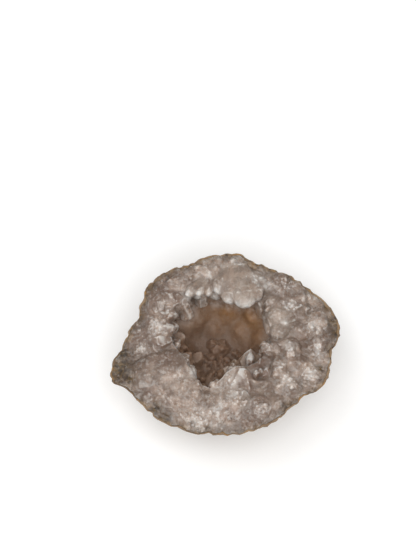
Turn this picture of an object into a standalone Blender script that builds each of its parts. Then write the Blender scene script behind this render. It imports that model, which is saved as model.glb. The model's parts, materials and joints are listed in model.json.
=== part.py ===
"""Half of a quartz geode, lying on its rounded back with the broken face up.

Two pieces: the stone rind, a bowl with a thin lip, and the crystal crust that fills it and lines the hollow.
The frame has its origin on the surface that the stone lies on, under the middle of the stone. +X runs along
the longest side, with the pointed end at -X, +Y away from the near side, and +Z up. Lengths are in
millimetres until the end of a shape's making, where MM turns them into metres.
"""

import itertools
import math
import random

import bmesh
import bpy
import numpy as np
from mathutils import Matrix, Vector, noise

MM = 0.001

# Overall form
RIM_HEIGHT = 35.0  # of the broken edge above the surface that the stone lies on
FACE_HEIGHT = 35.6  # of the broken face between its lumps
FOOT_DEPTH = 2.4  # how much of the round back the flat foot takes off
RIM_LEAN = math.radians(22)  # how far the outside leans in, right under the broken edge
LIP = 1.1  # thickness of the rind where it shows on the broken face
WALL = 8.5  # thickness of the rind further down
FULL_WALL_LEVEL = 0.36  # how far down the rind reaches its full thickness
GAP = 0.35  # between the rind and the crust

# The hollow
HOLLOW_DEPTH = 24.0  # from the broken face to the floor
HOLLOW_CENTRE = (-3.0, 1.5)
HOLLOW_BULGE = 0.16  # how much wider it is under its mouth, as a share
WALL_POWER, FLOOR_POWER = 0.75, 1.1  # a low power keeps the walls upright, a high one rounds the floor

# The broken edge and the mouth of the hollow, seen from above, anticlockwise from the left
OUTLINE = [
    (-50.0, -15.0), (-47.5, -18.5), (-41.5, -21.5), (-38.0, -26.5), (-34.5, -30.0), (-30.0, -34.0),
    (-24.5, -37.5), (-18.5, -40.0), (-9.0, -41.2), (4.0, -41.5), (13.5, -40.0), (20.0, -37.0),
    (26.5, -30.5), (34.5, -24.5), (41.5, -20.5), (45.0, -14.5), (46.0, -8.0), (46.2, -2.5),
    (50.0, 3.5), (49.8, 9.0), (47.5, 14.5), (41.5, 21.5), (34.5, 27.0), (26.5, 32.0), (17.5, 35.3),
    (12.0, 37.5), (5.5, 41.5), (-5.5, 41.2), (-9.0, 40.8), (-17.0, 36.5), (-25.5, 33.5),
    (-33.5, 28.5), (-36.5, 20.0), (-37.5, 13.0), (-41.5, 6.5), (-44.0, 0.5), (-45.0, -3.5), (-48.0, -7.0),
]
MOUTH = [
    (-25.0, 9.5), (-24.0, 3.5), (-20.5, -2.5), (-16.5, -9.5), (-12.0, -16.0), (-7.5, -19.0), (-1.5, -17.0),
    (4.8, -16.5), (9.0, -19.5), (15.0, -21.0), (20.0, -17.5), (22.0, -10.5), (21.0, -3.0), (19.5, 3.5),
    (17.8, 9.8), (17.5, 16.0), (14.0, 21.0), (9.0, 20.0), (1.5, 20.8), (-5.0, 23.0), (-12.0, 22.0),
    (-16.0, 20.0), (-22.0, 16.5),
]

# Smooth random relief, each swell with its wavelength, height and place in the noise
RIM_SWELLS = ((22.0, 2.4, 3),)
FACE_SWELLS = ((17.0, 1.6, 5), (7.0, 0.9, 9))
BACK_SWELLS = ((13.0, 2.6, 1), (6.0, 0.9, 2))

# The rounded lumps that raise the broken face: the middle (x, y), the radius and the height of each
LUMPS = [
    # the boulder on the lower left, in three swells
    (-30.0, -18.5, 13.0, 4.2), (-20.5, -25.0, 11.5, 4.6), (-23.0, -13.0, 9.5, 4.8),
    # the left and far sides
    (-28.5, 5.5, 7.5, 2.8), (-38.0, 1.5, 6.0, 2.0), (-27.0, 20.0, 9.0, 2.6), (-14.0, 28.5, 8.5, 2.4),
    (2.0, 32.0, 8.0, 3.0),
    # the right side
    (24.0, 26.0, 8.0, 3.2), (26.0, 12.0, 10.5, 3.8), (33.5, 7.0, 6.5, 3.0), (41.5, 3.0, 6.5, 2.0),
    (28.5, -2.5, 4.5, 3.0),
    # the ridge and the blocks at the front
    (31.0, -11.0, 7.5, 1.8), (23.5, -13.0, 4.6, 3.0), (27.0, -20.0, 5.0, 2.8), (14.5, -32.0, 7.5, 3.0),
    (3.0, -30.5, 9.0, 2.6), (-9.0, -30.5, 8.0, 2.8),
]

# Mesh density: columns round the stone, and the levels of the rings down each surface
COLUMNS = 64
BACK_LEVELS = (0.0, 0.06, 0.14, 0.24, 0.36, 0.48, 0.6, 0.72, 0.84, 0.94)
BOWL_LEVELS = (0.0, 0.17, 0.42, 0.74)
FACE_LEVELS = (0.1, 0.32, 0.54, 0.77, 1.0)
HOLLOW_LEVELS = (0.15, 0.36, 0.6, 0.83)
ANGLES = np.arange(COLUMNS) * 2 * math.pi / COLUMNS

# Quartz ends in six faces that lean this far from the crystal's length
PYRAMID_LEAN = math.radians(38.2)
SEED = 11

# The rows of crystals in the hollow: the level of each on the wall, how many, and their radius
LINING_ROWS = (
    (0.12, 16, 4.0), (0.27, 15, 4.4), (0.42, 13, 4.6), (0.57, 11, 4.6), (0.72, 9, 4.4), (0.87, 6, 4.4),
    (1.0, 1, 5.0),
)
BLUNT_FROM = 8.0  # beyond this y the crystals of the hollow are wide and stand out less
# The rows on the broken face: their share of the way from the edge to the mouth, and how many
FACE_ROWS = ((0.26, 20), (0.5, 18), (0.74, 17), (0.98, 15))
FACE_LENGTH = 15.0  # of each crystal in those rows
LARGE_CRYSTAL = 5.3  # a leading crystal of a larger radius than this keeps the rows off its end

# The crystals that stand out on the broken face and round the mouth: the place of the tip (x, y and height
# above the broken face), the way it points (a compass angle from +X, and a pitch above level), and its radius
# and length
LEADING_CRYSTALS = [
    # the fan that hangs over the far side of the hollow
    (0.5, 18.8, 2.2, 258, 16, 5.4, 19), (9.8, 17.6, 2.8, 283, 14, 6.0, 20),
    (-6.0, 23.2, 1.6, 248, 18, 4.2, 15),
    (15.0, 20.5, 0.8, 305, 16, 4.2, 14), (-15.5, 20.8, 2.4, 232, 24, 3.4, 14),
    (15.5, 27.0, 3.0, 290, 34, 3.0, 9),
    # the lobes on the right
    (17.5, 11.0, 1.5, 192, 10, 8.4, 22), (20.0, 2.5, 0.8, 180, 10, 5.6, 18),
    (20.5, 19.5, 2.0, 222, 18, 5.6, 16),
    (29.0, 7.0, 3.6, 170, 26, 5.0, 14), (23.5, 26.0, 2.6, 250, 22, 5.0, 13),
    # the steps on the lower right
    (11.0, -2.0, -11.0, 120, 62, 4.8, 12), (17.5, -4.0, -5.0, 150, 40, 3.4, 11),
    (21.0, -8.0, 0.5, 140, 40, 4.4, 14),
    (13.0, -12.5, -5.5, 120, 55, 3.6, 10), (27.0, -1.5, 4.0, 120, 50, 3.4, 9),
    (26.0, -16.0, 3.0, 130, 40, 4.6, 14),
    (33.0, -10.0, 2.2, 160, 12, 6.0, 16),
    # the pyramid at the front, and its neighbours
    (7.0, -10.0, 1.5, 84, 46, 6.6, 20), (0.0, -15.5, 1.5, 100, 38, 4.6, 15),
    (14.0, -22.0, 1.6, 100, 34, 5.0, 14),
    (-4.5, -18.5, -1.0, 95, 40, 2.4, 8), (15.0, -29.0, 3.4, 100, 40, 4.4, 12),
    # the boulder on the lower left
    (-12.0, -11.2, 1.4, 32, 16, 9.0, 28), (-14.5, -21.0, 2.8, 22, 18, 7.0, 24),
    (-21.0, -4.0, 1.0, 14, 18, 5.0, 20),
    (-8.5, -23.0, 1.6, 60, 30, 5.0, 16),
    # the crystals on the left
    (-21.5, 4.5, 2.4, 12, 22, 4.4, 14), (-20.0, 11.5, 2.0, 340, 22, 4.0, 13),
    (-20.0, 17.5, 1.8, 325, 22, 3.8, 12),
]

# The cutters' own reach past the stone
ABOVE = 30.0
ASIDE = 12.0


def radii(points, centre=(0.0, 0.0)):
    """How far a closed outline lies from its centre, along each of ANGLES."""
    offsets = np.array(points) - centre
    angles = np.arctan2(offsets[:, 1], offsets[:, 0]) % (2 * math.pi)
    order = np.argsort(angles)
    reach = np.hypot(*offsets.T)
    return np.interp(ANGLES, angles[order], reach[order], period=2 * math.pi)


def softened(values, reach):
    """A ring of values, each the mean of its neighbours this many columns either way."""
    shifted = [np.roll(values, k) for k in range(-reach, reach + 1)]
    return np.mean(shifted, axis=0)


def ring(radius, height, centre=(0.0, 0.0)):
    """The points at these radii and heights round a centre."""
    x = centre[0] + radius * np.cos(ANGLES)
    y = centre[1] + radius * np.sin(ANGLES)
    return np.column_stack([x, y, np.broadcast_to(height, ANGLES.shape)])


def relief(points, swells):
    """Each point's share of a smooth random relief, the same on each run."""
    total = np.zeros(len(points))
    for wavelength, height, place in swells:
        shift = Vector((place, 2 * place, 3 * place))
        total += height * np.array([noise.noise(Vector(p) / wavelength + shift) for p in points])
    return total


def smooth_share(value):
    """A share from 0 to 1 that starts and ends gently."""
    value = min(1.0, value)
    return value * value * (3 - 2 * value)


def face_height(x, y):
    """The height of the broken face at these places: a low swell, and the lumps on it."""
    x, y = np.ravel(x), np.ravel(y)
    raised = np.zeros(len(x))
    for middle_x, middle_y, radius, height in LUMPS:
        share = 1 - ((x - middle_x) ** 2 + (y - middle_y) ** 2) / radius**2
        raised = np.maximum(raised, height * np.clip(share, 0, 1) ** 0.6)
    points = np.column_stack([x, y, np.zeros(len(x))])
    return FACE_HEIGHT + raised + relief(points, FACE_SWELLS)


EDGE = radii(OUTLINE)
SOFT_EDGE = softened(EDGE, COLUMNS // 12)
RIM = RIM_HEIGHT + relief(ring(EDGE, 0.0), RIM_SWELLS)
MOUTH_REACH = radii(MOUTH, HOLLOW_CENTRE)
SOFT_MOUTH = softened(MOUTH_REACH, COLUMNS // 10)


def inward_from(points):
    """Unit vectors from these points to the middle of the broken face."""
    ways = np.array([0.0, 0.0, RIM_HEIGHT]) - points
    return ways / np.linalg.norm(ways, axis=1)[:, None]


def back_ring(level):
    """The outside of the rind, from the broken edge at level 0 to the middle of the back at level 1."""
    lean = RIM_LEAN + (math.pi / 2 - RIM_LEAN) * level
    reach = math.cos(lean) / math.cos(RIM_LEAN)
    drop = (math.sin(lean) - math.sin(RIM_LEAN)) / (1 - math.sin(RIM_LEAN))
    outline = EDGE + (SOFT_EDGE - EDGE) * min(1.0, 2.5 * level)
    points = ring(outline * reach, RIM - (RIM + FOOT_DEPTH) * drop)
    bump = relief(points, BACK_SWELLS) * min(1.0, 5 * level)
    return points - inward_from(points) * bump[:, None]


def bowl_ring(level, gap):
    """The inside of the rind with this gap to it: thin at the lip and full thickness below."""
    points = back_ring(level)
    thickness = LIP + (WALL - LIP) * smooth_share(level / FULL_WALL_LEVEL)
    return points + inward_from(points) * (thickness + gap)


def hollow_ring(level):
    """The wall of the hollow, from its mouth at level 0 to the middle of its floor at level 1."""
    turn = level * math.pi / 2
    bulge = 1 + HOLLOW_BULGE * math.sin(math.pi * min(1.0, 2.2 * level))
    reach = (MOUTH_REACH + (SOFT_MOUTH - MOUTH_REACH) * level) * math.cos(turn) ** WALL_POWER * bulge
    wall = ring(reach, 0.0, HOLLOW_CENTRE)
    mouth = ring(MOUTH_REACH, 0.0, HOLLOW_CENTRE)
    wall[:, 2] = face_height(mouth[:, 0], mouth[:, 1]) - HOLLOW_DEPTH * math.sin(turn) ** FLOOR_POWER
    return wall


def as_object(name, bm):
    """An object of this mesh, scaled from millimetres to metres."""
    bm.transform(Matrix.Scale(MM, 4))
    mesh = bpy.data.meshes.new(name)
    bm.to_mesh(mesh)
    bm.free()
    return bpy.data.objects.new(name, mesh)


def loft(name, rings, first, last):
    """A closed solid through rings of points, between a first and a last single point. Its faces are
    triangles split the same way each time, so that two lofts through like rings keep their gap."""
    bm = bmesh.new()
    start, end = bm.verts.new(first), bm.verts.new(last)
    rows = [[bm.verts.new(p) for p in points] for points in rings]
    for i in range(COLUMNS):
        j = (i + 1) % COLUMNS
        bm.faces.new((start, rows[0][i], rows[0][j]))
        bm.faces.new((end, rows[-1][j], rows[-1][i]))
        for upper, lower in zip(rows, rows[1:]):
            bm.faces.new((upper[i], lower[i], lower[j]))
            bm.faces.new((upper[i], lower[j], upper[j]))
    bmesh.ops.recalc_face_normals(bm, faces=bm.faces)
    return as_object(name, bm)


def pointing(compass, pitch):
    """The unit vector along a compass angle from +X and a pitch above level, in degrees."""
    turn, rise = math.radians(compass), math.radians(pitch)
    return Vector((math.cos(rise) * math.cos(turn), math.cos(rise) * math.sin(turn), math.sin(rise)))


def crystal_corners(radius, length, rng):
    """The corners of one quartz crystal along +Z, from z 0 to its tip: a six-sided prism with unequal sides,
    closed by six pyramid faces that don't quite meet in a point."""
    planes = [(0.0, 0.0, -1.0, 0.0)]
    across, along = math.cos(PYRAMID_LEAN), math.sin(PYRAMID_LEAN)
    for k in range(6):
        turn = math.radians(60 * k)
        planes.append((math.cos(turn), math.sin(turn), 0.0, radius * rng.uniform(0.74, 1.0)))
        tip_drop = radius * (rng.uniform(0.0, 0.16) + (k % 2) * rng.uniform(-0.1, 0.14))
        planes.append((across * math.cos(turn), across * math.sin(turn), along, length * along - tip_drop))
    planes = np.array(planes)
    triples = planes[list(itertools.combinations(range(len(planes)), 3))]
    triples = triples[np.abs(np.linalg.det(triples[:, :, :3])) > 1e-6]
    corners = np.linalg.solve(triples[:, :, :3], triples[:, :, 3:])[:, :, 0]
    inside = (corners @ planes[:, :3].T <= planes[:, 3] + 1e-6).all(axis=1)
    return corners[inside]


def add_crystal(bm, tip, compass, pitch, radius, length, rng):
    """A crystal of the given size whose tip is at a point, pointing along a compass angle and a pitch."""
    way = pointing(compass, pitch)
    turned = way.to_track_quat("Z", "Y").to_matrix().to_4x4()
    spin = Matrix.Rotation(rng.uniform(0, math.pi / 3), 4, "Z")
    place = Matrix.Translation(Vector(tip) - way * length) @ turned @ spin
    hull = bmesh.new()
    for corner in crystal_corners(radius, length, rng):
        hull.verts.new(place @ Vector(corner))
    bmesh.ops.remove_doubles(hull, verts=hull.verts, dist=0.02)
    bmesh.ops.convex_hull(hull, input=hull.verts)
    bmesh.ops.dissolve_limit(hull, angle_limit=math.radians(1), verts=hull.verts, edges=hull.edges)
    piece = bpy.data.meshes.new("crystal")
    hull.to_mesh(piece)
    hull.free()
    bm.from_mesh(piece)
    bpy.data.meshes.remove(piece)


def lining_crystals(rng):
    """The crystals that line the hollow, in rows, each pointing in from the wall and a little up."""
    found = []
    for level, count, size in LINING_ROWS:
        wall = hollow_ring(level)
        for k in range(count):
            column = int((k + rng.uniform(0.1, 0.9)) * COLUMNS / count) % COLUMNS
            root = wall[column]
            inward = np.array([*HOLLOW_CENTRE, root[2] + 9 * (1 + level)]) - root
            compass = math.degrees(math.atan2(inward[1], inward[0])) + rng.uniform(-22, 22)
            pitch = math.degrees(math.atan2(inward[2], np.hypot(*inward[:2]))) + rng.uniform(-12, 12)
            blunt = root[1] > BLUNT_FROM
            radius = size * rng.uniform(0.75, 1.25) * (1.25 if blunt else 1.0)
            stands_out = radius * rng.uniform(0.8, 1.2) * (0.75 if blunt else 1.0)
            tip = root + inward / np.linalg.norm(inward) * stands_out
            found.append((tip, compass, pitch, radius, stands_out + 2.2 * radius))
    return found


def on_large_crystal(x, y):
    """Whether this place is on the end of one of the large leading crystals, seen from above."""
    for tip_x, tip_y, _, compass, pitch, radius, length in LEADING_CRYSTALS:
        way = pointing(compass, pitch)
        back = -((x - tip_x) * way.x + (y - tip_y) * way.y)
        aside = abs((x - tip_x) * way.y - (y - tip_y) * way.x)
        if radius > LARGE_CRYSTAL and -1 < back < 0.5 * length and aside < 0.7 * radius:
            return True
    return False


def face_crystals(rng):
    """Crystals that overlap like shingles on the broken face, each rising from the edge side to its tip."""
    found = []
    outer, inner = ring(EDGE, 0.0), ring(MOUTH_REACH, 0.0, HOLLOW_CENTRE)
    for share, count in FACE_ROWS:
        for k in range(count):
            column = int((k + rng.uniform(0.1, 0.9)) * COLUMNS / count) % COLUMNS
            x, y, _ = outer[column] + (inner[column] - outer[column]) * share
            if on_large_crystal(x, y):
                continue
            to_hollow = math.degrees(math.atan2(HOLLOW_CENTRE[1] - y, HOLLOW_CENTRE[0] - x))
            height = float(face_height(x, y)[0]) + rng.uniform(0.1, 1.3) + 1.6 * share
            radius = rng.uniform(3.0, 5.4)
            compass, pitch = to_hollow + rng.uniform(-35, 35), rng.uniform(26, 42) - 16 * share
            found.append(((x, y, height), compass, pitch, radius, FACE_LENGTH))
    return found


def make_crystals():
    """All the crystals as one mesh of overlapping bodies, which the cut from the air makes one."""
    rng = random.Random(SEED)
    bm = bmesh.new()
    for x, y, lift, compass, pitch, radius, length in LEADING_CRYSTALS:
        add_crystal(bm, (x, y, FACE_HEIGHT + lift), compass, pitch, radius, length, rng)
    for crystal in lining_crystals(rng) + face_crystals(rng):
        add_crystal(bm, *crystal, rng)
    return as_object("crystals", bm)


def make_rind():
    """The stone bowl, with a flat foot where it rests."""
    back = [back_ring(level) for level in BACK_LEVELS]
    bowl = [bowl_ring(level, 0.0) for level in BOWL_LEVELS]
    rind = loft("rind", back[::-1] + bowl, (0.0, 0.0, -FOOT_DEPTH), (0.0, 0.0, WALL - FOOT_DEPTH))
    bm = bmesh.new()
    bm.from_mesh(rind.data)
    bmesh.ops.bisect_plane(
        bm,
        geom=bm.verts[:] + bm.edges[:] + bm.faces[:],
        plane_co=(0.0, 0.0, 0.0),
        plane_no=(0.0, 0.0, -1.0),
        clear_outer=True,
    )
    bmesh.ops.holes_fill(bm, edges=[e for e in bm.edges if e.is_boundary])
    bm.to_mesh(rind.data)
    bm.free()
    rind.data.shade_smooth()
    rind.data.set_sharp_from_angle(angle=math.radians(40))
    return rind


def make_filling():
    """What the crust is cut from: the inside of the bowl, with its sides carried up past the face."""
    bowl = [bowl_ring(level, GAP) for level in BOWL_LEVELS]
    top = bowl[0] + (0.0, 0.0, ABOVE)
    top_middle = (0.0, 0.0, RIM_HEIGHT + ABOVE)
    pole = (0.0, 0.0, WALL + GAP - FOOT_DEPTH)
    return loft("crystal_crust", [top] + bowl, top_middle, pole)


def make_air():
    """The space over the broken face and in the hollow."""
    outer, inner = ring(EDGE + 0.5, 0.0), ring(MOUTH_REACH, 0.0, HOLLOW_CENTRE)
    edge_height = RIM + 0.2
    face = []
    for level in FACE_LEVELS:
        across = outer + (inner - outer) * level
        share = min(1.0, level / FULL_WALL_LEVEL)
        across[:, 2] = edge_height + (face_height(across[:, 0], across[:, 1]) - edge_height) * share
        face.append(across)
    edge = ring(EDGE + ASIDE, RIM)
    above = ring(EDGE + ASIDE, RIM_HEIGHT + ABOVE + ASIDE)
    hollow = [hollow_ring(level) for level in HOLLOW_LEVELS]
    floor = (*HOLLOW_CENTRE, float(hollow[-1][:, 2].min()) - 1.5)
    return loft("air", [above, edge] + face + hollow, (0.0, 0.0, RIM_HEIGHT + ABOVE + ASIDE), floor)


def cut(target, cutter, name):
    """Takes the cutter out of the target."""
    made = target.modifiers.new(name, "BOOLEAN")
    made.operation = "DIFFERENCE"
    made.solver = "EXACT"
    made.use_self = cutter.name == "crystals"
    made.object = cutter
    cutter.hide_render = True
    cutter.display_type = "WIRE"


def drop_pockets(obj):
    """Makes the object its evaluated mesh, without the small bodies that closed off from the largest."""
    bpy.context.view_layer.update()
    graph = bpy.context.evaluated_depsgraph_get()
    obj.data = bpy.data.meshes.new_from_object(obj.evaluated_get(graph))
    obj.modifiers.clear()
    bm = bmesh.new()
    bm.from_mesh(obj.data)
    bodies, seen = [], set()
    for start in bm.verts:
        if start in seen:
            continue
        body, waiting = set(), [start]
        while waiting:
            vert = waiting.pop()
            if vert not in body:
                body.add(vert)
                waiting += [edge.other_vert(vert) for edge in vert.link_edges]
        seen |= body
        bodies.append(body)
    largest = max(bodies, key=len)
    bmesh.ops.delete(bm, geom=[v for v in bm.verts if v not in largest], context="VERTS")
    bm.to_mesh(obj.data)
    bm.free()


def material(name, colour, roughness):
    """A plain finish: the colour is linear, as the shader reads it."""
    made = bpy.data.materials.new(name)
    made.use_nodes = True
    shader = made.node_tree.nodes["Principled BSDF"]
    shader.inputs["Base Color"].default_value = (*colour, 1.0)
    shader.inputs["Roughness"].default_value = roughness
    return made


def main():
    for old in list(bpy.data.objects):
        bpy.data.objects.remove(old)
    geode = bpy.data.collections.new("geode_half")
    helpers = bpy.data.collections.new("cutters")
    bpy.context.scene.collection.children.link(geode)
    bpy.context.scene.collection.children.link(helpers)

    rind, crust = make_rind(), make_filling()
    air, crystals = make_air(), make_crystals()
    for piece in (rind, crust):
        geode.objects.link(piece)
    for helper in (air, crystals):
        helpers.objects.link(helper)

    cut(air, crystals, "crystals stay")
    drop_pockets(air)
    cut(crust, air, "hollow and face")
    rind.data.materials.append(material("rind", (0.21, 0.14, 0.075), 0.85))
    crust.data.materials.append(material("quartz", (0.42, 0.35, 0.30), 0.3))


main()
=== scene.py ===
"""The looks of the geode half: a stone rind with a bumpy outside, and the milky quartz crust that fills it.

Lengths are in millimetres until the end of a shape's making, where MM turns them into metres.
"""

import itertools
import json
import math
import random

import bmesh
import bpy
import numpy as np
from mathutils import Matrix, Vector, noise
from mathutils.bvhtree import BVHTree

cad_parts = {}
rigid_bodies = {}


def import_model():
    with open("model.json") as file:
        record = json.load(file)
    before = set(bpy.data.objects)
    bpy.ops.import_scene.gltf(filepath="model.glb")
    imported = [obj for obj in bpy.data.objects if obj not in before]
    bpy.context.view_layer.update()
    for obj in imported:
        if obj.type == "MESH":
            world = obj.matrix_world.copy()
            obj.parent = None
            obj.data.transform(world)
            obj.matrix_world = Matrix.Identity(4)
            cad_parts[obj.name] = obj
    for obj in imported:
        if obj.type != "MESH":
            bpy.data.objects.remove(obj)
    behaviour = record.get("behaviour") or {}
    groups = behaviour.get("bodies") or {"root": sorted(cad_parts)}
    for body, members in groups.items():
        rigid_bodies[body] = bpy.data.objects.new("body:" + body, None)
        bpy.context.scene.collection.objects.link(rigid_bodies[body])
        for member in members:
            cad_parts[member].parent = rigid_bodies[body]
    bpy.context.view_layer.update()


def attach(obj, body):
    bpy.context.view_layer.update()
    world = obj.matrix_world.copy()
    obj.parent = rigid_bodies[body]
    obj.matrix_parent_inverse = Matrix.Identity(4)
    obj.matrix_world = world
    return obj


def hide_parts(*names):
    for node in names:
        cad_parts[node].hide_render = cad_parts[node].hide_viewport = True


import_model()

MM = 0.001

# Overall form, as in the part
RIM_HEIGHT = 35.0
FACE_HEIGHT = 35.6
FOOT_DEPTH = 2.4
RIM_LEAN = math.radians(22)
LIP = 0.5
WALL = 8.5
FULL_WALL_LEVEL = 0.36
GAP = 0.08  # between the rind and the crust
SET_IN = 1.8  # how much further in the near side goes below its edge, where the photo shows only the edge
HOLLOW_DEPTH = 24.0
HOLLOW_CENTRE = (-3.0, 1.5)
HOLLOW_BULGE = 0.16
WALL_POWER, FLOOR_POWER = 0.75, 1.1

# The outline of the broken face, and that of the hollow's mouth, seen from above
OUTLINE = [
    (-50, -15), (-47.5, -18.5), (-41.5, -21.5), (-38, -26.5), (-34.5, -30), (-30, -34),
    (-24.5, -37.5), (-18.5, -40), (-9, -41.2), (4, -41.5), (13.5, -40), (20, -37),
    (26.5, -30.5), (34.5, -24.5), (41.5, -20.5), (45, -14.5), (46, -8), (46.2, -2.5),
    (50, 3.5), (49.8, 9), (47.5, 14.5), (41.5, 21.5), (34.5, 27), (26.5, 32), (17.5, 35.3),
    (12, 37.5), (5.5, 41.5), (-5.5, 41.2), (-9, 40.8), (-17, 36.5), (-25.5, 33.5),
    (-33.5, 28.5), (-36.5, 20), (-37.5, 13), (-41.5, 6.5), (-44, 0.5), (-45, -3.5), (-48, -7),
]
MOUTH = [
    (-24.5, 9.5), (-24, 3.5), (-21, -2.5), (-17.5, -7.5), (-13.5, -14), (-10, -19.5), (-6, -21),
    (-3, -17.5), (0.5, -13.5), (4, -11), (8.5, -10), (13, -8), (17, -4.5), (20, -0.5),
    (20, 3.5), (18.4, 9.8), (17.5, 16), (14, 21), (9, 20), (1.5, 20.8), (-5, 23),
    (-12, 22), (-16, 20), (-22, 16.5),
]

# Smooth random relief, each swell with its wavelength, height and place in the noise
RIM_SWELLS = ((22.0, 2.4, 3), (4.0, 0.8, 21), (1.9, 0.4, 23))
LIP_SWELLS = ((8.0, 1.1, 71), (2.6, 0.7, 73))
EDGE_SWELLS = ((4.6, 1.1, 31), (2.1, 0.7, 33))
FACE_SWELLS = ((17.0, 1.6, 5), (7.0, 0.9, 9), (3.2, 0.5, 13))
WALL_SWELLS = ((14.0, 5.0, 61), (7.0, 1.8, 63), (3.2, 1.4, 65))
BACK_SWELLS = ((13.0, 2.6, 1), (6.0, 0.9, 2), (3.0, 0.7, 41), (1.6, 0.45, 43))

# The low lumps of the face: the middle (x, y), the radius and the height
LUMPS = [
    (-30, -18.5, 13, 4.2), (-20.5, -25, 11.5, 4.6), (-23, -13, 9.5, 4.8),
    (-28.5, 5.5, 7.5, 2.8), (-38, 1.5, 6, 2), (-27, 20, 9, 2.6), (-14, 28.5, 8.5, 2.4),
    (2, 32, 8, 3),
    (24, 26, 8, 3.2), (26, 12, 10.5, 3.8), (33.5, 7, 6.5, 3), (41.5, 3, 6.5, 2),
    (28.5, -2.5, 4.5, 3),
    (31, -11, 7.5, 1.8), (23.5, -13, 4.6, 3), (27, -20, 5, 2.8), (14.5, -32, 7.5, 3),
    (3, -30.5, 9, 2.6), (-9, -30.5, 8, 2.8),
]

# Where the face dips: the middle (x, y), the radius and the depth
DIPS = [(15.0, -9.5, 8.5, 3.4), (33.5, -9.0, 5.0, 1.2), (17.0, 27.0, 4.0, 1.4), (-12.0, 25.5, 4.0, 1.0)]

# How finely each ring goes round, and the rings of each part of the rind and the crust
COLUMNS = 256
RIND_LEVELS = np.linspace(0.0, 0.965, 70)
BOWL_LEVELS = np.linspace(0.0, 0.9, 16)
FACE_LEVELS = np.linspace(0.04, 1.0, 34)
HOLLOW_LEVELS = np.linspace(0.04, 0.95, 34)
ANGLES = np.arange(COLUMNS) * 2 * math.pi / COLUMNS

PYRAMID_LEAN = math.radians(38.2)  # of a face of the tip, from the side of the prism below it
GOLDEN_ANGLE = 2.39996
SEED = 11
VOXEL = 0.37
MOST_TRIANGLES = 190000
THINNED = 0.85  # the share of triangles taken from the underside, which the rind covers
SHARP_ANGLE = math.radians(24)
FULL_RIDGE = 0.055  # how far a vertex stands out from its neighbours where the quartz has a full edge
ON_CRYSTAL = 0.3  # a point this near the planes of a crystal is on it
CRYSTAL_REACH = 32.0  # points further than this from a crystal's root are not compared with it
WORN = 0.2  # how far the skin is smoothed
EDGE_MARGIN = 0.8  # a fine crystal stays further inside the outline than this and 1.2 times its radius
WORLD_LIGHT = 0.61

# How many places are tried for each, and how many different shapes are used
FRINGE_COUNT = 38
LUMP_COUNT = 70
HOLLOW_COUNT = 190
LUMP_SHAPES = 9
FINE_SHAPES = 12

# The fine crystals all over the face: how many places are tried, and the least and most of the share of the
# way in from the outline to the mouth, the radius, the height of the tip in radii, and the pitch
FINE_ROWS = (
    (150, (0.06, 1), (0.7, 1.8), (0.2, 0.9), (46, 86)),
    (120, (0.08, 0.98), (1.8, 3.6), (0.12, 0.36), (42, 84)),
)

# The crystals of the hollow's near half: the level of each row on the wall, how many, and their radius
LINING_ROWS = (
    (0.2, 13, 3), (0.38, 15, 3.2), (0.55, 14, 3), (0.7, 12, 3), (0.84, 8, 3), (0.96, 4, 3.2),
)
SMOOTH_FROM = 4.0  # beyond this y the wall of the hollow is smooth
LARGE_BLOCK = 5.3  # a block with a larger half width than this keeps the small pieces off it
LARGE_CRYSTAL = 4.0  # and so does the end of a leading crystal with a larger radius than this

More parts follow.
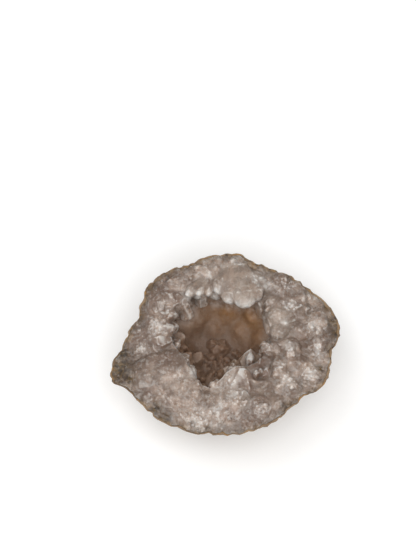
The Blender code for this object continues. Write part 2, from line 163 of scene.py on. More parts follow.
# The tip (x, y and height above the face), compass, pitch, radius, length and bluntness of each
LEADING_CRYSTALS = [
    # the slabs and crystals on the right
    (25, 7, 3.6, 205, 10, 1, 6, 0.6), (29.4, 13.6, 3.6, 215, 10, 0.8, 5, 0.6),
    (28.1, -2.9, 3.6, 120, 60, 2.4, 8, 0.8), (20, 3.2, 0.4, 190, 12, 4.6, 16, 0.8),
    # the steps on the lower right
    (10.5, 0.4, -5, 96, 50, 6.4, 16, 0), (10.8, -4, -2, 90, 55, 2, 6, 0.6),
    (4.2, -4, -8.5, 100, 60, 4, 12, 0), (-0.6, -7, -12, 80, 60, 3, 9, 0),
    (3.4, -6.4, -7, 120, 60, 2.2, 9, 0), (1.2, -7.6, -8.6, 70, 64, 1.9, 9, 0),
    (5.4, -8.2, -5.6, 95, 66, 1.7, 9, 0), (13.4, -12.4, 0.4, 92, 60, 1.5, 9, 0.3),
    (15.4, -11.6, -0.2, 85, 64, 1.4, 9, 0.3), (17.6, -10.8, -0.6, 110, 52, 3, 9, 0.3),
    (-10.6, 1.6, -14.5, 60, 56, 3, 9, 0), (-14.4, 0.2, -12, 30, 50, 2.6, 8, 0),
    # the heap on the floor
    (-3.6, 6.6, -18.6, 80, 66, 3, 9, 0), (-6.6, 8.4, -19.6, 150, 58, 2.4, 8, 0),
    (0.2, 8.2, -19.8, 30, 58, 2.6, 8, 0), (-1.6, 3.4, -18.4, 260, 60, 2.4, 8, 0),
    # down the left side of the hollow
    (-20, 9.5, -5, 350, 34, 3.8, 12, 0.5), (-19, 3.2, -6, 10, 38, 3.6, 12, 0.4),
    (-17.8, 15, -6, 325, 34, 4, 12, 0.6), (-15.2, -3, -6.5, 25, 42, 3.4, 11, 0.2),
    (-17.2, 7, -11, 355, 42, 3.8, 12, 0.3), (-12.8, -8.4, -6, 30, 46, 3.2, 10, 0),
    (16.6, -1, -2.4, 140, 55, 2.4, 8, 0), (18.6, -3.6, -0.6, 160, 50, 2, 8, 0),
    (19.6, 0.2, -0.4, 120, 60, 1.7, 6, 0), (17.5, -5.5, -3.4, 150, 45, 3.8, 12, 0),
    (21.4, -8, 0.5, 140, 40, 4.2, 14, 0), (15, -5.6, -2.6, 110, 50, 4.6, 13, 0),
    (18, -12.6, -0.6, 115, 46, 4.4, 12, 0),
    # the pyramid at the front, and its neighbours
    (7, -10.4, 3.2, 88, 42, 8.4, 24, 0), (-0.6, -16.5, 0.2, 105, 38, 4.2, 15, 0),
    (14.6, -20, 0.4, 95, 36, 5, 15, 0.5), (8, -22.5, 3, 92, 36, 5, 12, 0.5),
    # the boulder on the lower left
    (-12.6, -12.4, 1.2, 22, 30, 8.6, 17, 0), (-13.2, -26, 1.8, 350, 30, 6.4, 15, 0.3),
    (-20.6, -4.6, 0.8, 24, 32, 5, 13, 0.4), (-8.5, -23, 1, 60, 30, 5, 16, 0.5),
    # the crystals on the left
    (-22.6, 1, 2, 5, 22, 4.2, 13, 0.5), (-21.5, 6.5, 1.6, 10, 22, 4, 13, 0.7),
    (-20.5, 12.5, 1, 350, 22, 4, 13, 0.7), (-20, 18, 0.8, 325, 22, 3.8, 12, 0.7),
]

# Long crystals with rounded ends: the root and the tip (x, y and height above the face of each), and half of
# the width and of the thickness
PETALS = [
    # the fan over the far side of the hollow
    (4.4, 36, 1.2, -3.8, 21.6, 2.6, 4.6, 2.8), (5.4, 35.6, 1.8, 1.4, 16.8, 3, 5.2, 3),
    (6.2, 35.6, 1.8, 9.2, 14.8, 3, 6.6, 3.4), (7.4, 35.6, 1.2, 14.4, 18.2, 2.4, 5, 3),
    (9.6, 34, 0.4, 18.4, 24.4, 1.4, 3.4, 2.4),
    # the fingers left of it
    (-9, 30, 0.4, -16.9, 20.6, 2.4, 2.8, 2.4), (-7.4, 29, 0.4, -12.2, 21, 2.2, 2.4, 2.2),
    (-4.6, 29, 0, -8.2, 21.2, 1.2, 2.3, 2.2),
    # the boulder right of the mouth
    (32, 13.6, 0, 18.4, 10.4, 2.2, 5.2, 4.2), (31.6, 7.4, -0.4, 19.8, 3.2, 2, 4.4, 3.8),
    (28, 22.4, -0.6, 17.4, 16.4, 1.4, 4, 3.2),
]

# Broken lumps with rounded facets: the middle (x, y and height above the face), and half of the width, the
# depth and the height of each
BLOCKS = [
    # right: the boulder at the mouth, the dome behind it, and their neighbours
    (25.6, 9.6, -1.6, 9.4, 8.6, 5.4), (23, 22.4, -1.4, 6.2, 5.6, 4.6),
    (33.4, 5.6, -0.6, 6, 5, 3.8), (31, 20, -0.8, 5, 4.2, 3),
    (39.5, 9.5, -1.2, 5.6, 6.2, 3.2), (41, 0, -1, 4.6, 4.4, 3),
    (31.4, -10.8, -1.4, 7.2, 6.6, 3.6), (38.4, -15, -1.4, 5, 4.8, 3.2),
    (22.8, -1.6, -1.8, 3.8, 3.2, 3.2),
    # front
    (22.6, -10.4, -0.4, 3, 3.6, 3), (25.8, -15.6, -0.2, 3.4, 3.6, 3),
    (28.4, -20.6, -0.8, 3.6, 3.4, 2.8), (15.2, -31.6, 0, 5.4, 4.4, 3.4),
    (5, -29.5, 0, 5.6, 5.4, 3.6), (-3, -33.4, -0.6, 5.2, 4.4, 3),
    (-11, -33.6, -0.8, 5, 4.2, 3), (-5, -19.2, -2, 2.2, 2.1, 2.2),
    (22.5, -27, -1.4, 5, 4.4, 3),
    # lower left
    (-31, -17, -1.4, 11, 9, 6), (-23, -27, -1, 9, 8, 5.6),
    (-40, -14, -2, 6, 5, 4),
    # left
    (-30.4, 7.6, -0.4, 5.4, 4.8, 3.6), (-26.2, 3.2, 0, 3.8, 3.4, 3),
    (-34.5, 1.2, -1, 4.6, 4, 3), (-28, 18, -0.8, 6, 5.4, 3.4),
    (-20, 27.5, -1, 6.4, 4.8, 3.4), (-9.5, 31, -1, 6, 5, 3.4),
    # far side
    (3.5, 34, -0.6, 6, 4.6, 3.4), (14, 30.5, -0.2, 3.4, 3, 2.6),
]

# The soft swells of the hollow's far wall: the middle (x, y and height above the face), reach and height
SWELLS = [
    (-14.5, 15, -14, 9.5, 4.8), (1, 18.5, -12.5, 7.5, 3.6), (12, 17, -12.5, 7.5, 3.8),
    (-5.5, 13.5, -20, 6, 2), (7, 12.5, -19.5, 6.5, 2.2), (-19, 6, -14, 6.5, 2.2),
    (16.5, 7, -15, 7, 2.4), (-6.5, 21.5, -7, 6, 1.8), (5.5, 21, -7.5, 5, 1.4),
]

# Where fine crystals stand close together and the quartz is frosty: the middle (x, y), reach and number
CLUSTERS = [
    (4.6, 37, 2.6, 12), (13.9, 28.6, 3, 16), (-26.6, 15.6, 3.6, 18), (-28.7, 6, 3.4, 16),
    (28.8, 16, 3.2, 12), (38.4, 6.6, 3.2, 16), (28.3, -3, 2.4, 6), (40.6, -3, 3, 16),
    (23.6, -10.6, 2.6, 16), (26.6, -17.6, 3.2, 22), (36.6, -14.2, 3.4, 18), (27.4, 26.6, 3.6, 14),
    (6, -26, 4, 20), (4.6, -18, 3.6, 4), (-11.4, -36, 4.6, 22), (15, -31, 3.6, 12),
    (18.6, -2.4, 2.6, 14), (-36, -4, 3, 10), (-2, -31, 4.4, 18),
]

# Painted highlights on the ends and edges of large crystals that face the light: the middle (x, y) and the
# reach
PAINTED_HIGHLIGHTS = [
    (9.6, 15, 2.4), (13, 16.6, 2.2), (5.8, 16.4, 1.6), (1, 17.4, 2), (-4.2, 22.2, 2.2),
    (-16.6, 21.4, 2), (18.6, 25.6, 2.4), (-12, 21.6, 1.6), (26, 7.6, 1.6), (28.1, -2.9, 2),
    (11, -5, 1.6), (-13, -14, 2.2),
]

# Where the quartz is darker, partly as clearer quartz and partly as painted shade, and where it is paler,
# partly as whitest quartz and partly as painted light: the middle (x, y) and the reach
DUSKY_AND_SHADED = [
    (25, 25, 5), (35, 2, 7), (-31, -6, 6), (12, -34, 6), (31, 11, 4),
    (33, -9, 5), (-24, -8, 7), (-23, 31, 5), (-32, 21, 7), (14.5, -9, 6.5),
    (-38, -4, 6), (14, -27, 4.5), (-36, 8, 6), (42, 0, 5),
]
PALE_AND_LIT = [
    (4, 27, 12), (8, 18, 7), (-6, 38, 8), (-20, 26, 5), (-8, 32, 6),
    (23, 9, 5), (4, -25, 6), (-12, -34, 6), (5, -16, 5.5), (-20, -18, 7),
    (-28, 6, 4.5), (24, -14, 4), (38, -12, 5), (38, 6, 5),
]

# Where brown has soaked in: the middle (x, y) and the reach
STAINS = [
    (-47, -12, 9), (-44.5, -5, 4.4), (-41.5, -17, 3.4), (47, 10, 3), (44.5, 17, 2.4),
    (41.5, -12, 2.2), (13.6, 36.6, 3.4), (9.6, 38.6, 2), (19, 34.5, 2.4), (27, -30, 3.4),
    (-33, 27, 3), (49, 5, 4), (46, -3, 2.6), (-26, -36, 4), (-30, -31, 3),
]

# Where the hollow's wall is most orange
AMBER = [(11.0, 16.0, 10.0), (1.0, 20.0, 8.0)]

ABOVE = 30.0  # how far the space that the crust may fill goes up from the rim

# The camera, and where the photo has the middle of the broken face
PHOTO = (416, 555)
AIM_PIXEL = (225.0, 343.0)
PIXELS_PER_MM = 2.3
LENS = 140.0
SENSOR = 36.0
ELEVATION = 70.0


def radii(points, centre=(0.0, 0.0)):
    """How far a closed outline lies from its centre, along each of ANGLES."""
    offsets = np.array(points) - centre
    angles = np.arctan2(offsets[:, 1], offsets[:, 0]) % (2 * math.pi)
    order = np.argsort(angles)
    reach = np.hypot(*offsets.T)
    return np.interp(ANGLES, angles[order], reach[order], period=2 * math.pi)


def reach_towards(x, y, reaches):
    """How far an outline with these radii lies from its centre, in the direction of each place."""
    return np.interp(np.arctan2(y, x) % (2 * math.pi), ANGLES, reaches, period=2 * math.pi)


def softened(values, reach):
    """A ring of values, each the mean of its neighbours this many columns either way."""
    shifted = [np.roll(values, k) for k in range(-reach, reach + 1)]
    return np.mean(shifted, axis=0)


def ring(radius, height, centre=(0.0, 0.0)):
    """The points at these radii and heights round a centre."""
    x = centre[0] + radius * np.cos(ANGLES)
    y = centre[1] + radius * np.sin(ANGLES)
    return np.column_stack([x, y, np.broadcast_to(height, ANGLES.shape)])


def relief(points, swells):
    """Each point's share of a smooth random relief, the same on each run."""
    total = np.zeros(len(points))
    for wavelength, height, place in swells:
        shift = Vector((place, 2 * place, 3 * place))
        total += height * np.array([noise.noise(Vector(p) / wavelength + shift) for p in points])
    return total


def pebbles(points, size, place):
    """A relief of rounded cells, 1 in the middle of each and 0 between them."""
    shift = Vector((place, 2 * place, 3 * place))
    nearest = np.array([noise.voronoi(Vector(p) / size + shift)[0][:2] for p in points])
    return np.clip(1.2 * (nearest[:, 1] - nearest[:, 0]), 0, 1) ** 0.6


def smooth_share(value):
    """A share from 0 to 1 that starts and ends gently."""
    value = np.clip(value, 0.0, 1.0)
    return value * value * (3 - 2 * value)


def face_height(x, y):
    """The height of the broken face at these places: a low swell, and the lumps on it."""
    x, y = np.ravel(x), np.ravel(y)
    raised = np.zeros(len(x))
    for middle_x, middle_y, radius, height in LUMPS:
        share = 1 - ((x - middle_x) ** 2 + (y - middle_y) ** 2) / radius**2
        raised = np.maximum(raised, height * np.clip(share, 0, 1) ** 0.6)
    for middle_x, middle_y, radius, depth in DIPS:
        share = 1 - ((x - middle_x) ** 2 + (y - middle_y) ** 2) / radius**2
        raised -= depth * smooth_share(1.4 * share)
    points = np.column_stack([x, y, np.zeros(len(x))])
    return FACE_HEIGHT + raised + relief(points, FACE_SWELLS)


PLAIN_EDGE = radii(OUTLINE)
EDGE = PLAIN_EDGE + relief(ring(PLAIN_EDGE, 0.0), EDGE_SWELLS)
SOFT_EDGE = softened(PLAIN_EDGE, COLUMNS // 12)
RIM = RIM_HEIGHT + relief(ring(PLAIN_EDGE, 0.0), RIM_SWELLS)
LIPS = np.maximum(0.15, LIP + relief(ring(PLAIN_EDGE, 0.0), LIP_SWELLS))
MOUTH_REACH = radii(MOUTH, HOLLOW_CENTRE)
SOFT_MOUTH = softened(MOUTH_REACH, COLUMNS // 10)


def inside_edge(x, y):
    """How far inside the edge of the broken face each place is."""
    return reach_towards(x, y, EDGE) - np.hypot(x, y)


def inward_from(points):
    """Unit vectors from these points to the middle of the broken face."""
    ways = np.array([0.0, 0.0, RIM_HEIGHT]) - points
    return ways / np.linalg.norm(ways, axis=1)[:, None]


def back_ring(level):
    """The outside of the rind, from the broken edge at level 0 to the middle of the back at level 1."""
    lean = RIM_LEAN + (math.pi / 2 - RIM_LEAN) * level
    reach = math.cos(lean) / math.cos(RIM_LEAN)
    drop = (math.sin(lean) - math.sin(RIM_LEAN)) / (1 - math.sin(RIM_LEAN))
    outline = EDGE + (SOFT_EDGE - EDGE) * min(1.0, 2.5 * level)
    points = ring(outline * reach, RIM - (RIM + FOOT_DEPTH) * drop)
    below_edge = smooth_share(level / 0.12) * (1 - smooth_share((level - 0.45) / 0.4))
    near_side = np.clip(-np.sin(ANGLES), 0, 1) * below_edge
    bump = relief(points, BACK_SWELLS) * min(1.0, 5 * level) - SET_IN * near_side
    return points - inward_from(points) * bump[:, None]


def bowl_ring(level, gap):
    """The inside of the rind with this gap to it: thin at the lip and full thickness below."""
    points = back_ring(level)
    thickness = LIPS + (WALL - LIPS) * smooth_share(level / FULL_WALL_LEVEL)
    return points + inward_from(points) * (thickness + gap)[:, None]


def hollow_ring(level):
    """The wall of the hollow, from its mouth at level 0 to the middle of its floor at level 1."""
    turn = level * math.pi / 2
    bulge = 1 + HOLLOW_BULGE * math.sin(math.pi * smooth_share(1.5 * level))
    outline = MOUTH_REACH + (SOFT_MOUTH - MOUTH_REACH) * smooth_share(2 * level)
    reach = outline * math.cos(turn) ** WALL_POWER * bulge
    wall = ring(reach, 0.0, HOLLOW_CENTRE)
    mouth = ring(MOUTH_REACH, 0.0, HOLLOW_CENTRE)
    top = face_height(mouth[:, 0], mouth[:, 1])
    top += (FACE_HEIGHT - top) * smooth_share(1.2 * level)
    wall[:, 2] = top - HOLLOW_DEPTH * math.sin(turn) ** FLOOR_POWER
    swell = 0.4 * relief(wall, WALL_SWELLS) * min(1.0, 4 * level)
    joined = np.zeros(COLUMNS)
    for x, y, lift, wide, height in SWELLS:
        away = ((wall - (x, y, FACE_HEIGHT + lift)) ** 2).sum(axis=1) / (0.62 * wide) ** 2
        joined += (height * np.exp(-away)) ** 3
    swell += joined ** (1 / 3)
    inward = np.array([*HOLLOW_CENTRE, FACE_HEIGHT]) - wall
    return wall + inward / np.linalg.norm(inward, axis=1)[:, None] * swell[:, None]


def linked(name, data):
    """An object of this mesh, lamp or camera in the scene."""
    made = bpy.data.objects.new(name, data)
    bpy.context.scene.collection.objects.link(made)
    return made


def loft(name, rings, first, last):
    """A closed solid through rings of points, between a first and a last single point."""
    bm = bmesh.new()
    start, end = bm.verts.new(first), bm.verts.new(last)
    rows = [[bm.verts.new(p) for p in points] for points in rings]
    for i in range(COLUMNS):
        j = (i + 1) % COLUMNS
        bm.faces.new((start, rows[0][i], rows[0][j]))
        bm.faces.new((end, rows[-1][j], rows[-1][i]))
        for upper, lower in zip(rows, rows[1:]):
            bm.faces.new((upper[i], lower[i], lower[j]))
            bm.faces.new((upper[i], lower[j], upper[j]))
    bmesh.ops.recalc_face_normals(bm, faces=bm.faces)
    mesh = bpy.data.meshes.new(name)
    bm.to_mesh(mesh)
    bm.free()
    return linked(name, mesh)


def pointing(compass, pitch):
    """The unit vector along a compass angle from +X and a pitch above level, in degrees."""
    turn, rise = math.radians(compass), math.radians(pitch)
    return Vector((math.cos(rise) * math.cos(turn), math.cos(rise) * math.sin(turn), math.sin(rise)))


def crystal_corners(radius, length, rng, blunt=0.0):
    """The corners and planes of one quartz crystal along +Z, from z 0 to its tip: a six-sided prism with
    unequal sides, closed by six pyramid faces that don't quite meet in a point."""
    planes = [(0.0, 0.0, -1.0, 0.0)]
    across, along = math.cos(PYRAMID_LEAN), math.sin(PYRAMID_LEAN)
    for k in range(6):
        turn = math.radians(60 * k)
        planes.append((math.cos(turn), math.sin(turn), 0.0, radius * rng.uniform(0.74, 1.0)))
        tip_drop = radius * (rng.uniform(0.0, 0.16) + (k % 2) * rng.uniform(-0.1, 0.14))
        planes.append((across * math.cos(turn), across * math.sin(turn), along, length * along - tip_drop))
    for k in range(6 if blunt > 0 else 0):
        turn = math.radians(60 * k + 30 + rng.uniform(-9, 9))
        lean = math.radians(rng.uniform(62, 74))
        drop = blunt * radius * rng.uniform(0.42, 0.58)
        planes.append((math.cos(lean) * math.cos(turn), math.cos(lean) * math.sin(turn), math.sin(lean),
                       (length - drop) * math.sin(lean)))
    planes = np.array(planes)
    triples = planes[list(itertools.combinations(range(len(planes)), 3))]
    triples = triples[np.abs(np.linalg.det(triples[:, :, :3])) > 1e-6]
    corners = np.linalg.solve(triples[:, :, :3], triples[:, :, 3:])[:, :, 0]
    inside = (corners @ planes[:, :3].T <= planes[:, 3] + 1e-6).all(axis=1)
    return corners[inside], planes


def petal_corners(length, wide, thick, rng):
    """The corners of a long crystal along +Z, from a narrow root at z 0 to a rounded end."""
    found = []
    for k, share in enumerate((0.0, 0.2, 0.4, 0.56, 0.68, 0.78, 0.86, 0.93, 0.98)):
        spread = (0.5 + 0.5 * min(1.0, share / 0.68)) * math.sqrt(1 - max(0.0, (share - 0.6) / 0.4) ** 2)
        for i in range(12):
            turn = math.pi * (i + 0.5 * (k % 2)) / 6
            reach = spread * rng.uniform(0.93, 1.0)
            found.append((wide * reach * math.cos(turn), thick * reach * math.sin(turn), length * share))
    return found


def hull_planes(mesh):
    """The planes of a closed convex mesh."""
    return np.array([(*face.normal, face.normal.dot(face.center)) for face in mesh.polygons])


def hull_mesh(corners):
    """The closed mesh round these corners."""
    hull = bmesh.new()
    for corner in corners:
        hull.verts.new(corner)
    bmesh.ops.remove_doubles(hull, verts=hull.verts, dist=0.02)
    bmesh.ops.convex_hull(hull, input=hull.verts)
    bmesh.ops.triangulate(hull, faces=hull.faces)
    mesh = bpy.data.meshes.new("crystal")
    hull.to_mesh(mesh)
    hull.free()
    return mesh


def lump_corners(rng, count, uneven):
    """Points spread over a ball of radius 1, whose hull is a broken lump."""
    found = []
    for k in range(count):
        z = 1 - 2 * (k + 0.5) / count
        turn = k * GOLDEN_ANGLE + rng.uniform(-0.5, 0.5)
        flat = math.sqrt(1 - z * z)
        corner = Vector((flat * math.cos(turn), flat * math.sin(turn), z))
        found.append(corner * rng.uniform(1 - uneven, 1 + uneven))
    return found


def crystal_place(tip, compass, pitch, length, spin):
    """Where a crystal of this length goes, for its tip to be here and to point this way."""
    way = pointing(compass, pitch)
    turned = way.to_track_quat("Z", "Y").to_matrix().to_4x4()
    return Matrix.Translation(Vector(tip) - way * length) @ turned @ Matrix.Rotation(spin, 4, "Z")


def lining_crystals(rng):
    """The crystals that line the near half of the hollow, each pointing in from the wall and a little up."""
    found = []
    for level, count, size in LINING_ROWS:
        wall = hollow_ring(level)
        for k in range(count):
            column = int((k + rng.uniform(0.1, 0.9)) * COLUMNS / count) % COLUMNS
            root = wall[column]
            if root[1] > SMOOTH_FROM and level < 0.9:
                continue
            inward = np.array([*HOLLOW_CENTRE, root[2] + 9 * (1 + level)]) - root
            compass = math.degrees(math.atan2(inward[1], inward[0])) + rng.uniform(-35, 35)
            pitch = math.degrees(math.atan2(inward[2], np.hypot(*inward[:2]))) + rng.uniform(-20, 20)
            radius = size * rng.uniform(0.7, 1.3)
            stands_out = radius * rng.uniform(0.5, 1.1)
            tip = root + inward / np.linalg.norm(inward) * stands_out
            found.append((tip, compass, pitch, radius, stands_out + 2.2 * radius))
    return found


def fringe_crystals(rng):
    """Small crystals that stand out from the edge of the mouth all round."""
    found = []
    edge = hollow_ring(0.06)
    for k in range(FRINGE_COUNT):
        root = edge[int((k + rng.uniform(0.1, 0.9)) * COLUMNS / FRINGE_COUNT) % COLUMNS]
        inward = np.array([*HOLLOW_CENTRE, root[2]]) - root
        compass = math.degrees(math.atan2(inward[1], inward[0])) + rng.uniform(-35, 35)
        radius = rng.uniform(1.3, 2.8)
        tip = root + inward / np.linalg.norm(inward) * rng.uniform(0.2, 1.6)
        tip = tip + (0.0, 0.0, rng.uniform(-2.4, 0.4))
        found.append((tip, compass, rng.uniform(0, 35), radius, 3.2 * radius))
    return found


def on_large_piece(x, y):
    """Whether this place is on one of the large blocks or on the end of a large crystal, seen from above."""
    for block_x, block_y, _, wide, deep, _ in BLOCKS:
        if wide > LARGE_BLOCK and math.hypot((x - block_x) / wide, (y - block_y) / deep) < 0.72:
            return True
    for tip_x, tip_y, _, compass, pitch, radius, length, _ in LEADING_CRYSTALS:
        way = pointing(compass, pitch)
        back = -((x - tip_x) * way.x + (y - tip_y) * way.y)
        aside = abs((x - tip_x) * way.y - (y - tip_y) * way.x)
        if radius > LARGE_CRYSTAL and -1 < back < 0.5 * length and aside < 0.75 * radius:
            return True
    return False


def place_on_face(rng, least, most):
    """A place between these shares of the way in from the outline to the mouth of the hollow."""
    column = rng.randrange(COLUMNS)
    outer, inner = ring(PLAIN_EDGE, 0.0)[column], ring(MOUTH_REACH, 0.0, HOLLOW_CENTRE)[column]
    return (outer + (inner - outer) * rng.uniform(least, most))[:2]


def face_blocks(rng):
    """Low broken lumps all over the face: the middle and half the size of each."""
    found = []
    for _ in range(LUMP_COUNT):
        x, y = place_on_face(rng, 0.12, 0.97)
        if on_large_piece(x, y):
            continue
        size = rng.uniform(2.6, 6.4)
        z = float(face_height(x, y)[0]) - 0.62 * size + rng.uniform(-0.2, 0.2)
        found.append((x, y, z, size * rng.uniform(0.8, 1.2), size * rng.uniform(0.7, 1.1), 0.62 * size))
    return found


def fine_crystals(rng, shapes):
    """The fine crystals in the clusters, elsewhere on the face and in the near half of the hollow."""
    found = []

    def add(tip, compass, pitch, size):
        """One crystal, unless it is so near the outline that the outline would cut it to a sliver."""
        place = crystal_place(tip, compass, pitch, 4 * size, rng.uniform(0, 1))
        shape = rng.choice(shapes)
        if inside_edge(tip[0], tip[1]) > EDGE_MARGIN + 1.2 * size:
            found.append((shape, place @ Matrix.Scale(size, 4)))

    def add_on_face(x, y, sizes, lifts, pitches):
        """One crystal with its tip above this place."""
        size = rng.uniform(*sizes)
        z = float(face_height(x, y)[0]) + rng.uniform(*lifts) * size
        add((x, y, z), rng.uniform(0, 360), rng.uniform(*pitches), size)

    for x, y, reach, count in CLUSTERS:
        for _ in range(count):
            away, turn = reach * math.sqrt(rng.random()), rng.uniform(0, 2 * math.pi)
            at_x, at_y = x + away * math.cos(turn), y + away * math.sin(turn)
            add_on_face(at_x, at_y, (0.7, 1.7), (0.2, 1.0), (48, 88))
    for count, ways_in, sizes, lifts, pitches in FINE_ROWS:
        for _ in range(count):
            x, y = place_on_face(rng, *ways_in)
            if not on_large_piece(x, y):
                add_on_face(x, y, sizes, lifts, pitches)
    walls = [hollow_ring(level) for level in np.linspace(0.1, 0.98, 24)]
    for _ in range(HOLLOW_COUNT):
        wall = rng.randrange(len(walls))
        root = walls[wall][rng.randrange(COLUMNS)]
        if root[1] > SMOOTH_FROM and wall < 20:
            continue
        inward = Vector((*HOLLOW_CENTRE, root[2] + 14)) - Vector(root)
        compass = math.degrees(math.atan2(inward.y, inward.x)) + rng.uniform(-50, 50)
        tip = Vector(root) + inward.normalized() * rng.uniform(1.2, 3.6)
        add(tip, compass, rng.uniform(40, 85), rng.uniform(1.3, 2.5))
    return found


def apply_modifiers(obj):
    """Gives the object the mesh that its modifiers make, and takes them away."""
    bpy.context.view_layer.update()
    graph = bpy.context.evaluated_depsgraph_get()
    obj.data = bpy.data.meshes.new_from_object(obj.evaluated_get(graph))
    obj.modifiers.clear()


def boolean(obj, operation, other):
    """Joins or cuts the object with another object or with all of a collection."""
    made = obj.modifiers.new(operation, "BOOLEAN")
    made.operation = operation
    made.solver = "MANIFOLD"
    if isinstance(other, bpy.types.Collection):
        made.operand_type = "COLLECTION"
        made.collection = other
    else:
        made.object = other


def on_bowl(points, rings, pole):
    """Whether each point is on the crust's underside, which the rind covers."""
    faces = []
    for row in range(len(rings) - 1):
        for i in range(COLUMNS):
            j = (i + 1) % COLUMNS
            a, b = row * COLUMNS, (row + 1) * COLUMNS
            faces += [(a + i, b + i, b + j), (a + i, b + j, a + j)]
    last = (len(rings) - 1) * COLUMNS
    faces += [(last + i, last + (i + 1) % COLUMNS, len(rings) * COLUMNS) for i in range(COLUMNS)]
    tree = BVHTree.FromPolygons(np.concatenate(rings).tolist() + [pole], faces)
    close = np.array([tree.find_nearest(point, 0.3)[0] is not None for point in points.tolist()])
    return close & (points[:, 2] < RIM_HEIGHT - 2.5)


def thin_out(obj, share, where=None):
    """Keeps this share of the object's triangles. Where vertices are given, only those are thinned."""
    fewer = obj.modifiers.new("fewer", "DECIMATE")
    fewer.ratio = share
    if where is not None:
        group = obj.vertex_groups.new(name="covered")
        group.add(np.flatnonzero(where).tolist(), 1.0, "REPLACE")
        fewer.vertex_group = group.name
        fewer.vertex_group_factor = 0.05
    apply_modifiers(obj)


def drop_shells(mesh):
    """Takes away all but the largest connected skin: the small ones close off voids that nobody sees."""
    ends = np.empty(len(mesh.edges) * 2, int)
    mesh.edges.foreach_get("vertices", ends)
    a, b = ends.reshape(-1, 2).T
    label = np.arange(len(mesh.vertices))
    while True:
        low = np.minimum(label[a], label[b])
        lower = label.copy()
        np.minimum.at(lower, label[a], low)
        np.minimum.at(lower, label[b], low)
        lower = lower[lower]
        if (lower == label).all():
            break
        label = lower
    largest = np.bincount(label).argmax()
    bm = bmesh.new()
    bm.from_mesh(mesh)
    bm.verts.ensure_lookup_table()
    loose = [bm.verts[i] for i in np.flatnonzero(label != largest)]
    bmesh.ops.delete(bm, geom=loose, context="VERTS")
    bm.to_mesh(mesh)
    bm.free()


def plain_crust(bowl, pole):
    """The crust before its crystals: the underside, the broken face and the wall of the hollow."""
    outer, inner = bowl[0], ring(MOUTH_REACH, 0.0, HOLLOW_CENTRE)
    face = []
    for level in FACE_LEVELS:
        across = outer + (inner - outer) * level
        share = min(1.0, level / FULL_WALL_LEVEL)
        across[:, 2] = outer[:, 2] + (face_height(across[:, 0], across[:, 1]) - outer[:, 2]) * share
        face.append(across)
    hollow = [hollow_ring(level) for level in HOLLOW_LEVELS]
    floor = (*HOLLOW_CENTRE, float(hollow[-1][:, 2].min()) - 0.2)
    return loft("quartz_crust", bowl[::-1] + face + hollow, pole, floor)


def petal_place(root, way):
    """Where a petal goes, with its broad side up."""
    across = way.cross(Vector((0, 0, 1))).normalized()
    turned = Matrix((across, way.cross(across), way)).transposed().to_4x4()
    return Matrix.Translation(root) @ turned


def crystals(rng):
    """The mesh and place of each crystal and lump, and the planes, place and shade of the larger ones."""
    pieces, solids = [], []

    def grow(tip, compass, pitch, radius, length, blunt=0.0):
        """One crystal at its place."""
        spin = rng.uniform(0, math.pi / 3)
        corners, planes = crystal_corners(radius, length + 0.4 * blunt * radius, rng, blunt)
        place = crystal_place(tip, compass, pitch, length, spin)
        pieces.append((hull_mesh(corners), place))
        solids.append((planes, place, rng.uniform(-1, 1)))

    for x, y, lift, *shape in LEADING_CRYSTALS:
        grow((x, y, FACE_HEIGHT + lift), *shape)
    for root_x, root_y, root_lift, x, y, lift, wide, thick in PETALS:
        root = Vector((root_x, root_y, FACE_HEIGHT + root_lift))
        along = Vector((x, y, FACE_HEIGHT + lift)) - root
        mesh = hull_mesh(petal_corners(along.length, wide, thick, rng))
        place = petal_place(root, along.normalized())
        pieces.append((mesh, place))
        solids.append((hull_planes(mesh), place, rng.uniform(0.2, 1)))
    for shape in lining_crystals(rng) + fringe_crystals(rng):
        grow(*shape)
    broken = [hull_mesh(lump_corners(rng, 44, 0.08)) for _ in range(LUMP_SHAPES)]
    blocks = [(x, y, FACE_HEIGHT + lift, wide, deep, high) for x, y, lift, wide, deep, high in BLOCKS]
    for x, y, z, wide, deep, high in blocks + face_blocks(rng):
        turned = Matrix.Rotation(rng.uniform(-0.25, 0.25), 4, "X")
        turned = turned @ Matrix.Rotation(rng.uniform(-0.25, 0.25), 4, "Y")
        size = Matrix.Diagonal((wide, deep, high, 1.0))
        spun = Matrix.Rotation(rng.uniform(0, 2 * math.pi), 4, "Z")
        pieces.append((rng.choice(broken), Matrix.Translation((x, y, z)) @ turned @ size @ spun))
    shapes = [hull_mesh(crystal_corners(1.0, 4.0, rng)[0]) for _ in range(FINE_SHAPES)]
    return pieces + fine_crystals(rng, shapes), solids


def join_crystals(crust, pieces, bowl, pole):
    """Joins the crystals to the crust, and cuts off what would reach into the rind or past its edge."""
    group = bpy.data.collections.new("crystals")
    bpy.context.scene.collection.children.link(group)
    for mesh, place in pieces:
        piece = bpy.data.objects.new("crystal", mesh)
        piece.matrix_world = place
        group.objects.link(piece)
    boolean(crust, "UNION", group)
    top = bowl[0] + (0.0, 0.0, ABOVE)
    filling = loft("filling", [top] + bowl, (0.0, 0.0, RIM_HEIGHT + ABOVE), pole)
    boolean(crust, "INTERSECT", filling)
    apply_modifiers(crust)
    for piece in list(group.objects) + [filling]:
        bpy.data.objects.remove(piece)


def make_one_skin(crust, bowl, pole):
    """Grows the crystals together under one skin, and thins it, most of all where the rind covers it."""
    remesh = crust.modifiers.new("one skin", "REMESH")
    remesh.mode = "VOXEL"
    remesh.voxel_size = VOXEL
    apply_modifiers(crust)
    worn = crust.modifiers.new("worn", "SMOOTH")
    worn.factor = WORN
    worn.iterations = 1
    apply_modifiers(crust)
    drop_shells(crust.data)
    covered = on_bowl(vectors(crust.data, "co"), bowl, pole)
    thin_out(crust, 1 - THINNED * covered.mean(), covered)
    crust.data.calc_loop_triangles()
    if len(crust.data.loop_triangles) > MOST_TRIANGLES:
        thin_out(crust, MOST_TRIANGLES / len(crust.data.loop_triangles))


